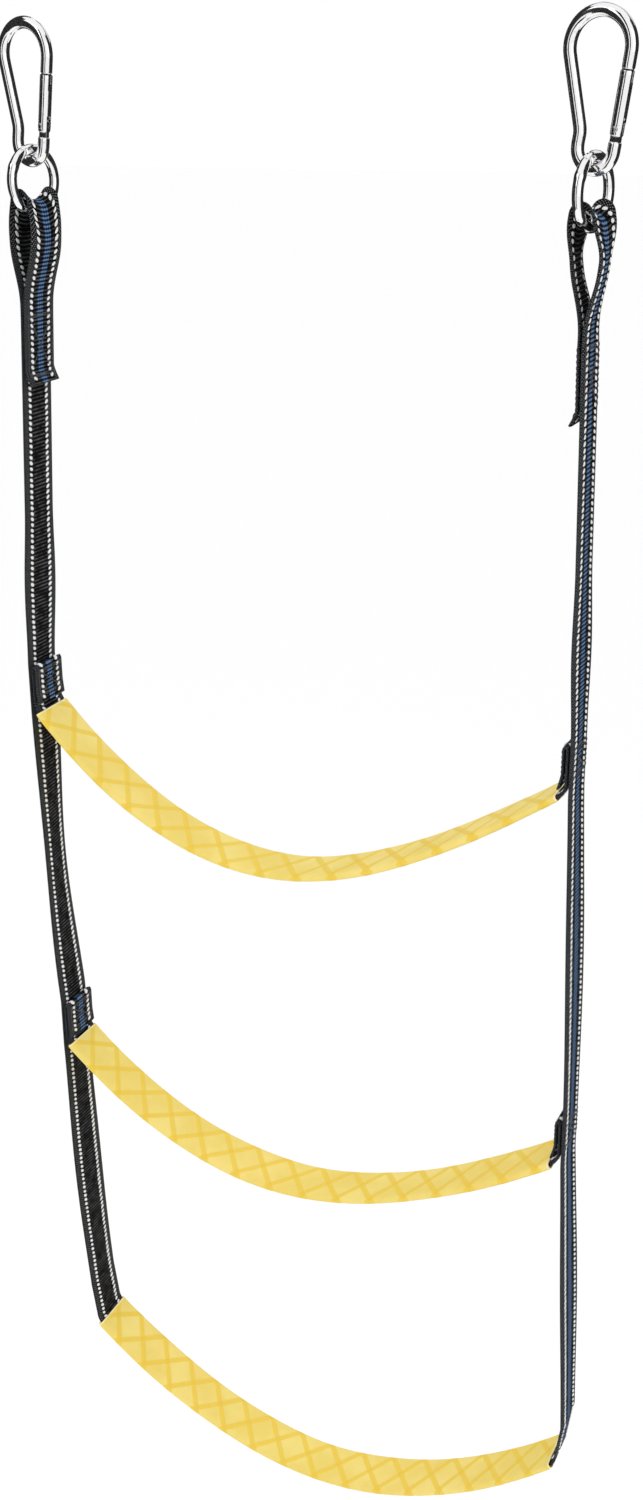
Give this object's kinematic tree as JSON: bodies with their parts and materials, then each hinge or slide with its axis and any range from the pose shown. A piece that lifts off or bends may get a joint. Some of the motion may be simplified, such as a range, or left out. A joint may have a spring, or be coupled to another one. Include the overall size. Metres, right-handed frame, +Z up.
{
  "type": "rope ladder",
  "caption": "Hanging webbing ladder with sagging sleeved steps between two flat webbing rails, each on a welded ring and a spring snap hook.",
  "frame": {"origin": "midway between the two points where the hooks' wire bears on what holds it", "axes": "+Z up, the ladder hangs down; +X to the ladder's right, along the steps; +Y to its back"},
  "size_m": [0.3376, 0.0354, 0.8702],
  "materials": {
    "polished_steel": "polished",
    "dark_steel": "satin",
    "webbing": "woven",
    "thread": "twisted",
    "step_sleeve": "embossed"
  },
  "bodies": {
    "hooks": {"left_hook": "polished_steel", "right_hook": "polished_steel"},
    "left_gate": {"left_gate": "polished_steel", "left_gate_rivet": "dark_steel", "left_latch_pin": "dark_steel", "left_gate_spring": "dark_steel"},
    "left_plunger": {"left_gate_plunger": "dark_steel"},
    "left_ring": {"left_ring": "polished_steel"},
    "left_top_strap": {"left_top_strap": "webbing", "left_loop_stitching": "thread"},
    "right_gate": {"right_gate": "polished_steel", "right_gate_rivet": "dark_steel", "right_latch_pin": "dark_steel", "right_gate_spring": "dark_steel"},
    "right_plunger": {"right_gate_plunger": "dark_steel"},
    "right_ring": {"right_ring": "polished_steel"},
    "right_top_strap": {"right_top_strap": "webbing", "right_loop_stitching": "thread"},
    "upper_step": {"upper_step_sleeve": "step_sleeve", "upper_step_webbing": "webbing", "left_upper_joint_rail": "webbing", "left_upper_joint_stitching": "thread", "right_upper_joint_rail": "webbing", "right_upper_joint_stitching": "thread"},
    "middle_step": {"middle_step_sleeve": "step_sleeve", "middle_step_webbing": "webbing", "left_middle_joint_rail": "webbing", "left_middle_joint_stitching": "thread", "right_middle_joint_rail": "webbing", "right_middle_joint_stitching": "thread"},
    "bottom_step": {"bottom_step_sleeve": "step_sleeve", "bottom_step_webbing": "webbing"},
    "left_rail_above_middle_upper": {"left_rail_above_middle_upper_half": "webbing"},
    "left_rail_above_middle_lower": {"left_rail_above_middle_lower_half": "webbing"},
    "right_rail_above_middle_upper": {"right_rail_above_middle_upper_half": "webbing"},
    "right_rail_above_middle_lower": {"right_rail_above_middle_lower_half": "webbing"},
    "left_rail_above_bottom_upper": {"left_rail_above_bottom_upper_half": "webbing"},
    "left_rail_above_bottom_lower": {"left_rail_above_bottom_lower_half": "webbing"},
    "right_rail_above_bottom_upper": {"right_rail_above_bottom_upper_half": "webbing"},
    "right_rail_above_bottom_lower": {"right_rail_above_bottom_lower_half": "webbing"}
  },
  "joints": [
    {"name": "left_gate_hinge", "type": "hinge", "parent": "hooks", "child": "left_gate", "pos_m": [-0.13891, -0.00196, -0.04582], "axis": [-0.1908, -0.9816, 0], "range_deg": [0, 28], "stiffness_Nm_per_rad": 0.1, "springref_deg": -51.57},
    {"name": "left_plunger_slide", "type": "slide", "parent": "left_gate", "child": "left_plunger", "axis": [0.1402, -0.0273, 0.9897], "range_m": [0, 0.00128], "deforming": ["left_gate_spring"]},
    {"name": "right_gate_hinge", "type": "hinge", "parent": "hooks", "child": "right_gate", "pos_m": [0.15909, -0.00196, -0.04582], "axis": [-0.1908, -0.9816, 0], "range_deg": [0, 28], "stiffness_Nm_per_rad": 0.1, "springref_deg": -51.57},
    {"name": "right_plunger_slide", "type": "slide", "parent": "right_gate", "child": "right_plunger", "axis": [0.1402, -0.0273, 0.9897], "range_m": [0, 0.00128], "deforming": ["right_gate_spring"]},
    {"name": "ladder_swing", "type": "hinge", "parent": "hooks", "child": "left_ring", "pos_m": [-0.149, 0, -0.063], "axis": [1, 0, 0], "range_deg": [-70, 70]},
    {"name": "right_ring_swing", "type": "hinge", "parent": "hooks", "child": "right_ring", "pos_m": [0.149, 0, -0.063], "axis": [1, 0, 0], "range_deg": [-70, 70]},
    {"name": "side_sway", "type": "hinge", "parent": "left_ring", "child": "left_top_strap", "pos_m": [-0.149, 0, -0.0879], "axis": [0, 1, 0], "range_deg": [-10, 10]},
    {"name": "upper_step_level", "type": "hinge", "parent": "left_top_strap", "child": "upper_step", "pos_m": [-0.1535, 0, -0.3325], "axis": [0, 1, 0], "range_deg": [-10, 10]},
    {"name": "right_strap_sway", "type": "hinge", "parent": "upper_step", "child": "right_top_strap", "pos_m": [0.1445, 0, -0.3325], "axis": [0, 1, 0], "range_deg": [-10, 10]},
    {"name": "gather_middle", "type": "hinge", "parent": "upper_step", "child": "left_rail_above_middle_upper", "pos_m": [-0.1645, 0, -0.364], "axis": [0, 1, 0], "range_deg": [0, 70]},
    {"name": "left_middle_crease", "type": "hinge", "parent": "left_rail_above_middle_upper", "child": "left_rail_above_middle_lower", "pos_m": [-0.16145, 0, -0.458], "axis": [0, 1, 0], "range_deg": [-140, 0]},
    {"name": "middle_step_level", "type": "hinge", "parent": "left_rail_above_middle_lower", "child": "middle_step", "pos_m": [-0.1584, 0, -0.552], "axis": [0, 1, 0], "range_deg": [0, 70]},
    {"name": "right_middle_top_fold", "type": "hinge", "parent": "upper_step", "child": "right_rail_above_middle_upper", "pos_m": [0.1555, 0, -0.364], "axis": [0, 1, 0], "range_deg": [-70, 0]},
    {"name": "right_middle_foot_fold", "type": "hinge", "parent": "middle_step", "child": "right_rail_above_middle_lower", "pos_m": [0.1616, 0, -0.552], "axis": [0, 1, 0], "range_deg": [0, 70]},
    {"name": "gather_bottom", "type": "hinge", "parent": "middle_step", "child": "left_rail_above_bottom_upper", "pos_m": [-0.1584, 0, -0.583], "axis": [0, 1, 0], "range_deg": [0, 70]},
    {"name": "left_bottom_crease", "type": "hinge", "parent": "left_rail_above_bottom_upper", "child": "left_rail_above_bottom_lower", "pos_m": [-0.1542, 0, -0.67325], "axis": [0, 1, 0], "range_deg": [-140, 0]},
    {"name": "bottom_step_level", "type": "hinge", "parent": "left_rail_above_bottom_lower", "child": "bottom_step", "pos_m": [-0.15, 0, -0.7635], "axis": [0, 1, 0], "range_deg": [0, 70]},
    {"name": "right_bottom_top_fold", "type": "hinge", "parent": "middle_step", "child": "right_rail_above_bottom_upper", "pos_m": [0.1616, 0, -0.583], "axis": [0, 1, 0], "range_deg": [-70, 0]},
    {"name": "right_bottom_foot_fold", "type": "hinge", "parent": "bottom_step", "child": "right_rail_above_bottom_lower", "pos_m": [0.17, 0, -0.7635], "axis": [0, 1, 0], "range_deg": [0, 70]}
  ],
  "couplings": [
    {"joint": "left_plunger_slide", "follows": "left_gate_hinge", "m_per_rad": 0.00256},
    {"joint": "right_plunger_slide", "follows": "right_gate_hinge", "m_per_rad": 0.00256},
    {"joint": "right_ring_swing", "follows": "ladder_swing", "ratio": 1},
    {"joint": "upper_step_level", "follows": "side_sway", "ratio": -1},
    {"joint": "right_strap_sway", "follows": "side_sway", "ratio": 1},
    {"joint": "left_middle_crease", "follows": "gather_middle", "ratio": -2},
    {"joint": "middle_step_level", "follows": "gather_middle", "ratio": 1},
    {"joint": "right_middle_top_fold", "follows": "gather_middle", "ratio": -1},
    {"joint": "right_middle_foot_fold", "follows": "gather_middle", "ratio": 1},
    {"joint": "left_bottom_crease", "follows": "gather_bottom", "ratio": -2},
    {"joint": "bottom_step_level", "follows": "gather_bottom", "ratio": 1},
    {"joint": "right_bottom_top_fold", "follows": "gather_bottom", "ratio": -1},
    {"joint": "right_bottom_foot_fold", "follows": "gather_bottom", "ratio": 1}
  ]
}
